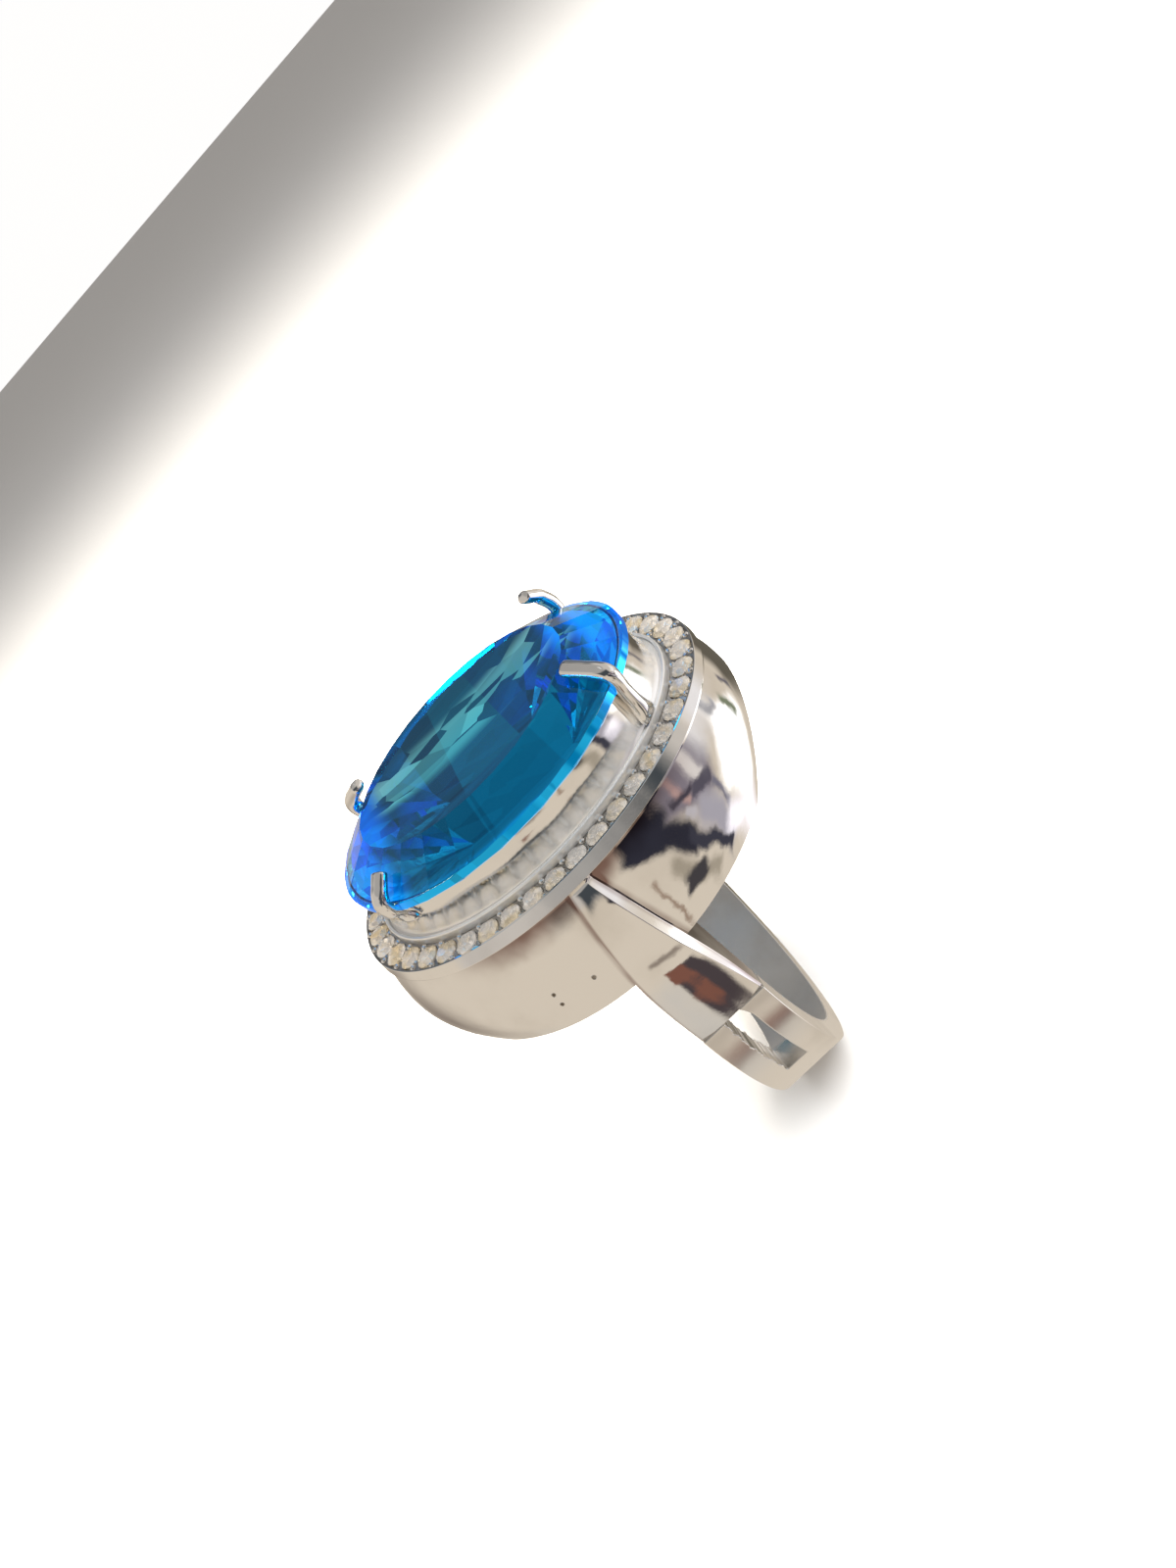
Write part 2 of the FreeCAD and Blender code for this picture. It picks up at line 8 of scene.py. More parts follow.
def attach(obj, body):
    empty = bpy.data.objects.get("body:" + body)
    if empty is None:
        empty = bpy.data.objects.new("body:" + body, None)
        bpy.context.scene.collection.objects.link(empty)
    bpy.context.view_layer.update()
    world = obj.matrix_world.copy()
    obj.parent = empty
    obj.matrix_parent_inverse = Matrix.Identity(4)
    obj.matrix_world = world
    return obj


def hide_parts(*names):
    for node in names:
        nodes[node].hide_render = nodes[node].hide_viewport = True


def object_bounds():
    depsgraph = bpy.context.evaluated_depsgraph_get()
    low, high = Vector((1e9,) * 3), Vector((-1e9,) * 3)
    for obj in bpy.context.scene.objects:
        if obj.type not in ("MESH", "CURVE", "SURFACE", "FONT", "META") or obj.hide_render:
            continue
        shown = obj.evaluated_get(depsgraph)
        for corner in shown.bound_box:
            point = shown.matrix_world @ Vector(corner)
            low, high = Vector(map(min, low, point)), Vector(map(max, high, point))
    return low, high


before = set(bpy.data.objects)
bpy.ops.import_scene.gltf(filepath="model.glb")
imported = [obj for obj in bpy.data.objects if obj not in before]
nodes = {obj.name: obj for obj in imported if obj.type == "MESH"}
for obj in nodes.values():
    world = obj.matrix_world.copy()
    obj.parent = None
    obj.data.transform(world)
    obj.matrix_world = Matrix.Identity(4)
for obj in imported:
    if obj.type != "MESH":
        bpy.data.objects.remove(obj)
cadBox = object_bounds()
mm = 0.001
print("frame loaded:", len(nodes), "nodes")


# shader helpers

class Wire:
    # one output of a node; sums of wires and numbers become Math nodes
    def __init__(self, maker, socket):
        self.maker = maker
        self.socket = socket

    def math(self, operation, *others):
        return self.maker.node("ShaderNodeMath", {"operation": operation}, [self, *others])

    def __add__(self, other):
        return self.math("ADD", other)

    def __sub__(self, other):
        return self.math("SUBTRACT", other)

    def __rsub__(self, other):
        return self.maker.node("ShaderNodeMath", {"operation": "SUBTRACT"}, [other, self])

    def __mul__(self, other):
        return self.math("MULTIPLY", other)


class Nodes:
    # a node tree and the few ways this file adds to it
    def __init__(self, tree):
        self.tree = tree

    def node(self, kind, settings=None, sockets=None, output=0):
        made = self.tree.nodes.new(kind)
        for name, value in (settings or {}).items():
            setattr(made, name, value)
        pairs = sockets.items() if isinstance(sockets, dict) else enumerate(sockets or [])
        for key, value in pairs:
            if isinstance(value, Wire):
                self.tree.links.new(value.socket, made.inputs[key])
            elif value is not None:
                made.inputs[key].default_value = value
        return Wire(self, made.outputs[output])

    def place(self):
        return self.node("ShaderNodeTexCoord", output=3)

    def axes(self):
        # the place's three parts, in metres
        split = self.node("ShaderNodeSeparateXYZ", None, [self.place()])
        return [Wire(self, part) for part in split.socket.node.outputs]

    def noise(self, scale, detail=2.0, roughness=0.5, place=None):
        return self.node("ShaderNodeTexNoise", None, {
            "Vector": place or self.place(), "Scale": scale, "Detail": detail, "Roughness": roughness})

    def band(self, value, low, high, start=0.0, end=1.0):
        return self.node("ShaderNodeMapRange", {"interpolation_type": "SMOOTHSTEP"},
                         [value, low, high, start, end])

    def mix(self, share, first, second):
        return self.node("ShaderNodeMix", {"data_type": "RGBA"}, {0: share, 6: first, 7: second}, 2)

    def bump(self, height, strength, distance, normal=None):
        return self.node("ShaderNodeBump", None, {
            "Height": height, "Strength": strength, "Distance": distance, "Normal": normal})


class Finish(Nodes):
    # one material with a Principled shader
    def __init__(self, name, **values):
        self.material = bpy.data.materials.new(name)
        self.material.use_nodes = True
        super().__init__(self.material.node_tree)
        self.tree.nodes.clear()
        self.output = self.tree.nodes.new("ShaderNodeOutputMaterial")
        self.shader = self.tree.nodes.new("ShaderNodeBsdfPrincipled")
        self.tree.links.new(self.shader.outputs[0], self.output.inputs["Surface"])
        for socket, value in values.items():
            self.feed(socket, value)

    def feed(self, socket, value):
        target = self.shader.inputs[socket.replace("_", " ")]
        if isinstance(value, Wire):
            self.tree.links.new(value.socket, target)
        else:
            target.default_value = value


# finishes

silver = {
    "colour": (0.90, 0.885, 0.86, 1), "dull": (0.78, 0.755, 0.72, 1), "pit": (0.16, 0.13, 0.10, 1),
    # painted shade: the dark brown laid into recesses and along the strap edges
    "paintedShade": (0.26, 0.17, 0.15, 1),
    "smudgeScale": 260, "smudges": (0.42, 0.78), "waveScale": 210, "waveDepth": 0.0006,
    "scratchScale": 7000, "scratch": 0.03, "scratchDepth": 0.00002,
    "pitScale": 620, "pitPatchScale": 90, "pitPatches": (0.52, 0.6), "pitRough": 0.4, "pitDepth": 0.00006,
}


def makePolished(name, gloss, wave, pits=0.0, haze=0.05, satin=None, paintedShade=None, matt=0.0):
    # matt is the share of dull skin: over all of it, or for each part of satin's added roughness
    finish = Finish(name, Metallic=1.0)
    smudges = finish.band(finish.noise(silver["smudgeScale"], 4), *silver["smudges"])
    colour = finish.mix(smudges, silver["colour"], silver["dull"])
    rough = smudges * haze + gloss
    if satin:
        worn = satin(finish)
        rough = rough + worn
        finish.feed("Metallic", 1 - worn * matt)
    elif matt:
        finish.feed("Metallic", 1 - matt)
    # darkens the colour with painted shade where that mask is high
    if paintedShade:
        colour = finish.mix(paintedShade(finish), colour, silver["paintedShade"])
    waves = finish.bump(finish.noise(silver["waveScale"], 1), wave, silver["waveDepth"])
    scratches = finish.noise(silver["scratchScale"], 2)
    surface = finish.bump(scratches, silver["scratch"], silver["scratchDepth"], waves)
    if pits:
        cells = finish.node("ShaderNodeTexVoronoi", None, {
            "Vector": finish.place(), "Scale": silver["pitScale"], "Randomness": 1.0})
        rare = finish.band(finish.noise(silver["pitPatchScale"], 1), *silver["pitPatches"])
        spots = finish.band(cells, pits, pits * 0.5) * rare
        colour = finish.mix(spots, colour, silver["pit"])
        rough = rough + spots * silver["pitRough"]
        surface = finish.bump(1 - spots, 0.6, silver["pitDepth"], surface)
    finish.feed("Base_Color", colour)
    finish.feed("Roughness", rough)
    finish.feed("Normal", surface)
    return finish.material


wearAndPaintedShade = {
    # heights, distances and radii in metres; the last value of collar and bore is the added roughness
    "collar": (0.0137, 0.0130, 0, 0.16), "bore": (0.00925, 0.00915, 0, 0.35),
    # recess and crease entries place painted shade: below the halo's rim and along the straps
    "recess": (0.0113, 0.0124), "recessRagged": 0.0016, "recessSides": (0.0078, 0.0040),
    # a strap's half width at its foot, the foot's height, and how it narrows with the height squared
    "strapHalf": 0.0019, "strapFoot": 0.0016, "strapNarrows": 12.8,
    "creaseOutside": (0.00032, 0.00004), "creaseInside": (-0.00016, -0.00002), "crease": (0.35, 0.75),
}


def satinLow(finish):
    # the lower part of the stone's wall is less polished
    return finish.band(finish.axes()[2], *wearAndPaintedShade["collar"])


def satinBore(finish):
    # brushed inside the finger hole
    flat = finish.node("ShaderNodeVectorMath", {"operation": "MULTIPLY"}, {0: finish.place(), 1: (1, 0, 1)})
    radius = finish.node("ShaderNodeVectorMath", {"operation": "LENGTH"}, {0: flat}, 1)
    return finish.band(radius, *wearAndPaintedShade["bore"])


def paintedShadeUnderRim(finish):
    # painted shade in the recess below the halo's rim, along the sides
    _, across, height = finish.axes()
    ragged = height + finish.noise(330, 3) * wearAndPaintedShade["recessRagged"]
    return finish.band(ragged, *wearAndPaintedShade["recess"]) * finish.band(across.math("ABSOLUTE"), *wearAndPaintedShade["recessSides"])


def paintedShadeBesideStrap(finish):
    # a soft line of painted shadow along both edges of each strap
    _, across, height = finish.axes()
    rise = height - wearAndPaintedShade["strapFoot"]
    gap = across.math("ABSOLUTE") + rise * rise * wearAndPaintedShade["strapNarrows"] - wearAndPaintedShade["strapHalf"]
    uneven = finish.band(finish.noise(520, 2), 0.3, 0.7, *wearAndPaintedShade["crease"])
    return finish.band(gap, *wearAndPaintedShade["creaseOutside"]) * finish.band(gap, *wearAndPaintedShade["creaseInside"]) * uneven


# painted shade on the head: under the rim and beside the straps
def headPaintedShade(finish):
    return paintedShadeUnderRim(finish) + paintedShadeBesideStrap(finish)


cast = {
    "dark": (0.40, 0.38, 0.352, 1), "grainScale": 2600, "cloudScale": 500, "clouds": (0.35, 0.7),
    # the tray's top is at this height; below it the casting is polished
    "level": 0.01205, "edge": 0.00003, "rough": 0.25, "grain": 0.3, "polish": 0.06,
}


def makeCast(name):
    finish = Finish(name, Metallic=1.0)
    grain = finish.noise(cast["grainScale"], 4, 0.7)
    clouds = finish.band(finish.noise(cast["cloudScale"], 3), *cast["clouds"])
    above = finish.band(finish.axes()[2], cast["level"] - cast["edge"], cast["level"])
    colour = finish.mix(clouds, cast["dark"], silver["dull"])
    finish.feed("Base_Color", finish.mix(above, silver["colour"], colour))
    finish.feed("Roughness", grain * cast["grain"] * above + (above * cast["rough"] + cast["polish"]))
    finish.feed("Normal", finish.bump(grain * above, 0.5, 0.00008))
    return finish.material


blue = {
    "index": 1.6, "sheen": (0.12, 0.6, 1.0, 1), "clear": (1, 1, 1, 1), "hazy": (0.86, 0.94, 0.98, 1),
    "hazeScale": 420, "haze": (0.45, 0.80), "hazeRough": 0.02,
    "body": (0.02, 0.90, 0.992, 1), "density": 380,
    # the mirrored back's colours, which paint in the stone's reflections and shade: in the middle, in its
    # shaded quarter, at the ends and on the near side
    "mirror": ((0.07, 0.24, 0.32, 1), (0.18, 0.42, 0.52, 1)), "mirrorShade": (0.02, 0.12, 0.22, 1),
    "mirrorEnds": (0.03, 0.50, 0.95, 1), "mirrorNear": (0.02, 0.34, 0.56, 1),
    # its glow, which stands in for the light that cut facets return
    "glow": ((0.012, 0.040, 0.066, 1), (0.020, 0.056, 0.088, 1)), "glowCells": (0.020, 0.080, 0.125, 1),
    "glowEnds": ((0.0, 0.11, 0.60, 1), (0.0, 0.50, 1.0, 1)), "sliver": (0.80, 0.64, 0.58, 1),
    "glowNear": ((0.0, 0.05, 0.13, 1), (0.0, 0.27, 0.58, 1)),
    # where these lie, in metres along the stone's width and length
    "ends": (0.0054, 0.0068), "near": (0.0026, 0.0048), "shadeSide": (0.0, 0.0016),
    "shadeLength": (0.0012, -0.0014), "stripOuter": (-0.0050, -0.0040), "stripInner": (-0.0018, -0.0026),
    "cellTurn": (0, 0, 0.10), "cells": (1500, 420, 0), "chance": (0.50, 0.54),
}


def makeBlueStone():
    finish = Finish("blueStone", IOR=blue["index"], Transmission_Weight=1.0, Specular_Tint=blue["sheen"])
    haze = finish.band(finish.noise(blue["hazeScale"], 3), *blue["haze"])
    finish.feed("Base_Color", finish.mix(haze, blue["clear"], blue["hazy"]))
    finish.feed("Roughness", haze * blue["hazeRough"])
    finish.feed("Normal", finish.bump(finish.noise(6000, 2), 0.01, 0.00001))
    absorb = finish.tree.nodes.new("ShaderNodeVolumeAbsorption")
    absorb.inputs["Color"].default_value = blue["body"]
    absorb.inputs["Density"].default_value = blue["density"]
    finish.tree.links.new(absorb.outputs[0], finish.output.inputs["Volume"])
    return finish.material


# the stone's back: a mirror whose colour holds painted reflections and shade, and whose glow is painted light
def makeFacetBack():
    finish = Finish("blueFacetBack", Metallic=1.0, Roughness=0.0, Emission_Strength=1.0)
    share = finish.node("ShaderNodeAttribute", {"attribute_name": "facet"}, output=2)
    side, across, _ = finish.axes()
    ends = finish.band(across.math("ABSOLUTE"), *blue["ends"])
    near = finish.band(side, *blue["near"])
    shade = finish.band(side, *blue["shadeSide"]) * finish.band(across, *blue["shadeLength"])
    # long cells, each with a chance of being a pale sliver of painted light and a brightness of its own
    spread = finish.node("ShaderNodeMapping", None, {
        "Vector": finish.place(), "Rotation": blue["cellTurn"], "Scale": blue["cells"]})
    cells = finish.node("ShaderNodeTexVoronoi", None, {"Vector": spread, "Scale": 1.0}, 1)
    chance = finish.node("ShaderNodeSeparateColor", None, [cells])
    fade = Wire(finish, chance.socket.node.outputs[1])
    tone = finish.mix(share, *blue["mirror"])
    tone = finish.mix(shade, tone, blue["mirrorShade"])
    tone = finish.mix(ends, tone, blue["mirrorEnds"])
    tone = finish.mix(near * (1 - ends), tone, blue["mirrorNear"])
    glow = finish.mix(share, *blue["glow"])
    glow = finish.mix(near, glow, finish.mix(share * 0.35 + fade * 0.65, *blue["glowNear"]))
    glow = finish.mix(finish.band(fade, 0.3, 0.9) * (1 - near) * 0.5, glow, blue["glowCells"])
    # the slivers of painted light lie in a row on the far side of the keel
    strip = finish.band(side, *blue["stripOuter"]) * finish.band(side, *blue["stripInner"])
    streak = finish.band(chance, *blue["chance"]) * (fade * 0.6 + 0.4) * strip * (1 - ends)
    glow = finish.mix(streak, glow, blue["sliver"])
    glow = finish.mix(ends, glow, finish.mix(share * share, *blue["glowEnds"]))
    finish.feed("Base_Color", tone)
    finish.feed("Emission_Color", glow)
    return finish.material


white = {
    "index": 1.9, "rough": 0.06, "clear": 0.80,
    "cool": (0.92, 0.88, 0.83, 1), "warm": (0.88, 0.74, 0.50, 1), "tintScale": 1100, "tints": (0.42, 0.66),
}


def makeWhiteStone():
    finish = Finish("whiteStone", Roughness=white["rough"], IOR=white["index"],
                    Transmission_Weight=white["clear"])
    tint = finish.band(finish.noise(white["tintScale"], 1), *white["tints"])
    finish.feed("Base_Color", finish.mix(tint, white["cool"], white["warm"]))
    return finish.material


polished = makePolished("polishedSilver", 0.03, 0.10, pits=0.09)
# head and straps carry painted shade in the recess under the rim and along the strap edges
headSilver = makePolished("headSilver", 0.03, 0.10, pits=0.09, paintedShade=headPaintedShade)
strapSilver = makePolished("strapSilver", 0.03, 0.10, pits=0.09, paintedShade=paintedShadeBesideStrap)
smoothSilver = makePolished("smoothSilver", 0.04, 0.16)
collarSilver = makePolished("collarSilver", 0.05, 0.3, haze=0.1, satin=satinLow, matt=1.3)
shankSilver = makePolished("shankSilver", 0.20, 0.16, pits=0.09, haze=0.08, satin=satinBore)
brightCut = makePolished("brightCutSilver", 0.12, 0.5, haze=0.12)
milledSilver = makePolished("milledSilver", 0.30, 0.5, haze=0.12, matt=0.18)
castSilver = makeCast("castSilver")
blueStone = makeBlueStone()
facetBack = makeFacetBack()
whiteStone = makeWhiteStone()
print("finishes made")


# modelling helpers; shapes are drawn in millimetres and scaled at the end

def newPiece(name, bm, finish, replaced, sharp=30, edge=0.0):
    bmesh.ops.recalc_face_normals(bm, faces=bm.faces)
    bmesh.ops.scale(bm, vec=(mm, mm, mm), verts=bm.verts)
    mesh = bpy.data.meshes.new(name)
    bm.to_mesh(mesh)
    bm.free()
    mesh.materials.append(finish)
    mesh.shade_smooth()
    mesh.set_sharp_from_angle(angle=math.radians(sharp))
    piece = bpy.data.objects.new(name, mesh)
    bpy.context.scene.collection.objects.link(piece)
    if edge:
        rounded = piece.modifiers.new("roundedEdges", "BEVEL")
        rounded.width = edge * mm
        rounded.segments = 2
        rounded.limit_method = "ANGLE"
        rounded.angle_limit = math.radians(sharp)
        rounded.harden_normals = True
    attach(piece, "root")
    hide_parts(*replaced)
    return piece


def oval(halfLength, halfWidth, turn, height):
    return Vector((halfWidth * math.sin(turn), halfLength * math.cos(turn), height))


def outward(halfLength, halfWidth, turn):
    return Vector((math.sin(turn) / halfWidth, math.cos(turn) / halfLength, 0)).normalized()


def ovalShell(rows, place, segments=192):
    # a band round Z made of rows; the last row is joined to the first
    bm = bmesh.new()
    turn = bm.verts.layers.float.new("turn")
    ring = bmesh.ops.create_circle(bm, segments=segments, radius=1)["verts"]
    for v in ring:
        v[turn] = math.atan2(v.co.x, v.co.y)
        v.co = place(v[turn], 0)
    first = list(bm.edges)
    edges = first
    for row in range(1, rows):
        made = bmesh.ops.extrude_edge_only(bm, edges=edges)["geom"]
        verts = [g for g in made if isinstance(g, bmesh.types.BMVert)]
        fresh = set(verts)
        edges = [g for g in made if isinstance(g, bmesh.types.BMEdge) and set(g.verts) <= fresh]
        for v in verts:
            v.co = place(v[turn], row)
    bmesh.ops.bridge_loops(bm, edges=first + edges)
    return bm


def smoothPath(points, steps):
    # a Catmull-Rom run through points of any length
    path = []
    for i in range(len(points) - 1):
        a, b = points[i], points[i + 1]
        before = points[i - 1] if i else a
        after = points[i + 2] if i + 2 < len(points) else b
        for step in range(steps):
            t = step / steps
            path.append([0.5 * (2 * q + (r - p) * t + (2 * p - 5 * q + 4 * r - s) * t * t
                                + (3 * q - p - 3 * r + s) * t * t * t)
                         for p, q, r, s in zip(before, a, b, after)])
    path.append(list(points[-1]))
    return path


def along(path, value):
    # reads a path whose first column falls steadily, at a value of that column
    for a, b in zip(path, path[1:]):
        if a[0] >= value >= b[0]:
            share = (a[0] - value) / max(a[0] - b[0], 1e-9)
            return [p + (q - p) * share for p, q in zip(a[1:], b[1:])]
    return path[-1][1:] if value < path[-1][0] else path[0][1:]


# head: a domed wall, open below where the finger passes

head = {
    # height, half length, half width, shift along the finger
    "sections": [(11.5, 10.75, 8.7, 0), (10.2, 11.15, 9.3, -0.12), (8.8, 11.3, 9.75, -0.24),
                 (7.6, 11.1, 10.0, -0.3), (6.5, 10.6, 10.05, -0.3)],
    "wall": 0.9, "arch": 9.3, "rows": 22, "segments": 240,
}
headPath = smoothPath(head["sections"], 12)


def headFoot(turn, inset):
    # height where the wall meets the finger arch, or the foot
    low = head["sections"][-1][0]
    height = low
    for _ in range(25):  # each step halves the distance to the wall's foot
        halfWidth = along(headPath, height)[1] - inset
        reach = head["arch"] ** 2 - (halfWidth * math.sin(turn)) ** 2
        height = 0.5 * height + 0.5 * max(low, math.sqrt(max(reach, 0)))
    return height


def makeHead():
    rows = head["rows"]
    top = head["sections"][0][0]
    feet = {}

    def place(turn, row):
        inside = row > rows
        inset = head["wall"] if inside else 0
        share = (2 * rows + 1 - row if inside else row) / rows
        key = (round(turn, 5), inside)
        if key not in feet:
            feet[key] = headFoot(turn, inset)
        height = top + (feet[key] - top) * share
        halfLength, halfWidth, shift = along(headPath, height)
        spot = oval(halfLength - inset, halfWidth - inset, turn, height)
        spot.y += shift
        return spot

    bm = ovalShell(2 * rows + 2, place, head["segments"])
    newPiece("headShell", bm, headSilver, ["head_shell"], 35, 0.06)


makeHead()
print("head made")


# shoulder straps: faceted blades that rise from the band to the halo

strap = {
    # height, reach from the middle, half width, corner taken off the fingertip side
    "levels": [(11.75, 8.95, 0.58, 0.22), (11.5, 9.35, 0.65, 0.26), (10.2, 10.0, 0.98, 0.34),
               (8.2, 10.5, 1.33, 0.36), (6.5, 10.68, 1.6, 0.36), (4.2, 10.5, 1.8, 0.26),
               (1.6, 10.276, 1.9, 0.12)],
    # the inner side follows the finger hole, and above the web's top the bed on the head
    "bulge": 0.10, "columns": 14, "bore": 9.1, "webTop": 7.2, "bed": (8.3, 9.4), "steps": 12,
}


def orderAs(verts, places):
    return [min(verts, key=lambda v: (v.co - spot).length) for spot in places]


def extrudeEnd(bm, face):
    # pulls a face out and leaves no wall behind it
    made = bmesh.ops.extrude_face_region(bm, geom=[face])["geom"]
    bmesh.ops.delete(bm, geom=[face], context="FACES_ONLY")
    return [g for g in made if isinstance(g, bmesh.types.BMFace)][0]


def makeStrap(side, name, node):
    path = smoothPath(strap["levels"], strap["steps"])
    columns = strap["columns"]
    bm = bmesh.new()
    bmesh.ops.create_circle(bm, cap_ends=True, segments=columns + 4, radius=1)
    face = bm.faces[:][0]
    before = []
    for index, (height, reach, half, corner) in enumerate(path):
        inner = math.sqrt(max(strap["bore"] ** 2 - height ** 2, 0.01))
        if height > strap["webTop"]:
            share = (height - strap["webTop"]) / (path[0][0] - strap["webTop"])
            inner = strap["bed"][1] + (strap["bed"][0] - strap["bed"][1]) * share
        spots = [(inner, -half)]
        for column in range(columns + 1):
            across = (2 * column / columns - 1) * (half - corner / 2) - corner / 2
            spots.append((reach - strap["bulge"] * (1.2 * across / half) ** 2, across))
        spots += [(reach - corner - strap["bulge"], half), (inner, half)]
        if index:
            face = extrudeEnd(bm, face)
            verts = orderAs(face.verts, before)
        else:
            verts = [l.vert for l in face.loops]
        for v, (out, across) in zip(verts, spots):
            v.co = Vector((side * out, across, height))
        before = [v.co.copy() for v in verts]
    newPiece(name, bm, strapSilver, [node], 25, 0.05)


makeStrap(1, "rightStrap", "shoulder_strap_right")
makeStrap(-1, "leftStrap", "shoulder_strap_left")
print("straps made")


# lower shank: a band bent round the finger, with a sawn window in each side

shank = {
    "inner": 9.1, "outer": 10.4, "seam": 1.6, "windowEnd": -4.0,
    "columns": [-1.9, -1.72, -1.3, -0.95, -0.625, -0.3, 0, 0.3, 0.625, 0.95, 1.3, 1.72, 1.9],
    # the window lies between these two columns; one edge is ragged and one corner is filled
    "windowColumns": (4, 8), "windowRows": 44, "rows": 70, "burr": 0.08, "cornerRows": 7, "corner": 0.30,
}


def makeShank():
    start = math.asin(shank["seam"] / shank["outer"])
    windowTurn = math.asin(-shank["windowEnd"] / shank["outer"])
    span = windowTurn + start
    bm = bmesh.new()
    total = 2 * shank["windowRows"] + shank["rows"]
    wide = len(shank["columns"]) - 1
    bmesh.ops.create_grid(bm, x_segments=total, y_segments=wide, size=0.5)
    dice = random.Random(5)
    jag = [dice.uniform(-1, 1) for _ in range(total + 1)]
    ragged, filled = shank["windowColumns"]
    windowFaces = []
    for f in bm.faces:
        middle = f.calc_center_median()
        row = (middle.x + 0.5) * total
        column = (middle.y + 0.5) * wide
        besideSeam = row < shank["windowRows"] or row > total - shank["windowRows"]
        if besideSeam and ragged < column < filled:
            windowFaces.append(f)
    bmesh.ops.delete(bm, geom=windowFaces, context="FACES")
    for v in bm.verts:
        row = round((v.co.x + 0.5) * total)
        column = round((v.co.y + 0.5) * wide)
        if row <= shank["windowRows"]:
            turn = -start + span * row / shank["windowRows"]
        elif row >= total - shank["windowRows"]:
            turn = math.pi + start - span * (total - row) / shank["windowRows"]
        else:
            share = (row - shank["windowRows"]) / shank["rows"]
            turn = windowTurn + (math.pi - 2 * windowTurn) * share
        across = shank["columns"][column]
        if column == ragged and row < shank["windowRows"]:
            across += shank["burr"] * jag[row] * abs(jag[row])
        if column == filled and row < shank["cornerRows"]:
            across -= shank["corner"] * (1 - row / shank["cornerRows"]) ** 2
        v.co = Vector((turn, across, 0))
    made = bmesh.ops.extrude_face_region(bm, geom=bm.faces[:])["geom"]
    for v in [g for g in made if isinstance(g, bmesh.types.BMVert)]:
        v.co.z = 1
    for v in bm.verts:
        turn, across, raised = v.co
        radius = shank["outer"] if raised else shank["inner"]
        v.co = Vector((radius * math.cos(turn), across, -radius * math.sin(turn)))
    newPiece("lowerShank", bm, shankSilver, ["lower_shank"], 35, 0.06)


makeShank()
print("shank made")


# halo channel rims and collar: bands round the stone

rims = {
    # half length, half width, height at the ends, height at the sides
    "outer": [(10.88, 8.6, 11.5, 11.5), (10.97, 8.85, 11.5, 11.5), (10.98, 9.2, 11.62, 11.85),
              (10.92, 8.74, 12.08, 12.3), (10.88, 8.6, 12.1, 12.3)],
    "inner": [(9.25, 7.0, 12.05, 12.05), (9.45, 7.2, 12.05, 12.05), (9.42, 7.17, 12.4, 12.4),
              (9.38, 7.13, 12.46, 12.46), (9.25, 7.0, 12.46, 12.46)],
    "collar": [(8.55, 6.3, 12.05, 12.05), (9.25, 7.0, 12.05, 12.05), (9.25, 7.0, 12.28, 12.28),
               (9.12, 6.93, 12.42, 12.42), (9.02, 6.9, 12.7, 12.7), (8.92, 6.92, 13.3, 13.3),
               (8.84, 6.97, 14.0, 14.0), (8.76, 7.07, 14.7, 14.7), (8.72, 7.05, 14.8, 14.8),
               (8.55, 6.9, 14.72, 14.72), (7.9, 6.0, 13.6, 13.6), (8.2, 6.1, 12.9, 12.9)],
}


def makeBand(name, corners, finish, node, edge):
    def place(turn, row):
        halfLength, halfWidth, endHeight, sideHeight = corners[row]
        share = math.sin(turn) ** 2
        return oval(halfLength, halfWidth, turn, endHeight + (sideHeight - endHeight) * share)

    newPiece(name, ovalShell(len(corners), place), finish, [node], 25, edge)


makeBand("outerRim", rims["outer"], smoothSilver, "halo_outer_rim", 0.03)
makeBand("innerRim", rims["inner"], milledSilver, "halo_inner_rim", 0.03)
makeBand("stoneCollar", rims["collar"], collarSilver, "stone_collar", 0.03)
print("rims and collar made")


# claws: round-edged wires from the collar wall over the stone's edge

claw = {
    "turn": 40, "girdle": (9.15, 7.35), "steps": 6, "sides": 20, "ridge": 0.12, "roundness": 0.8,
    # the leg ends and the fold over the stone starts at these heights
    "legTop": 15, "foldFrom": 15.5,
    # out from the girdle, height, half width, half thickness
    "path": [(0.0, 12.55, 0.55, 0.16), (0.0, 12.8, 0.58, 0.30), (0.0, 13.2, 0.46, 0.34),
             (0.03, 13.8, 0.38, 0.32), (0.10, 14.5, 0.37, 0.31), (0.20, 15.05, 0.38, 0.31),
             (0.18, 15.55, 0.42, 0.33), (-0.14, 15.98, 0.42, 0.33), (-0.75, 16.30, 0.41, 0.31),
             (-1.35, 16.58, 0.41, 0.30), (-1.66, 16.72, 0.38, 0.28), (-1.76, 16.77, 0.20, 0.14)],
}


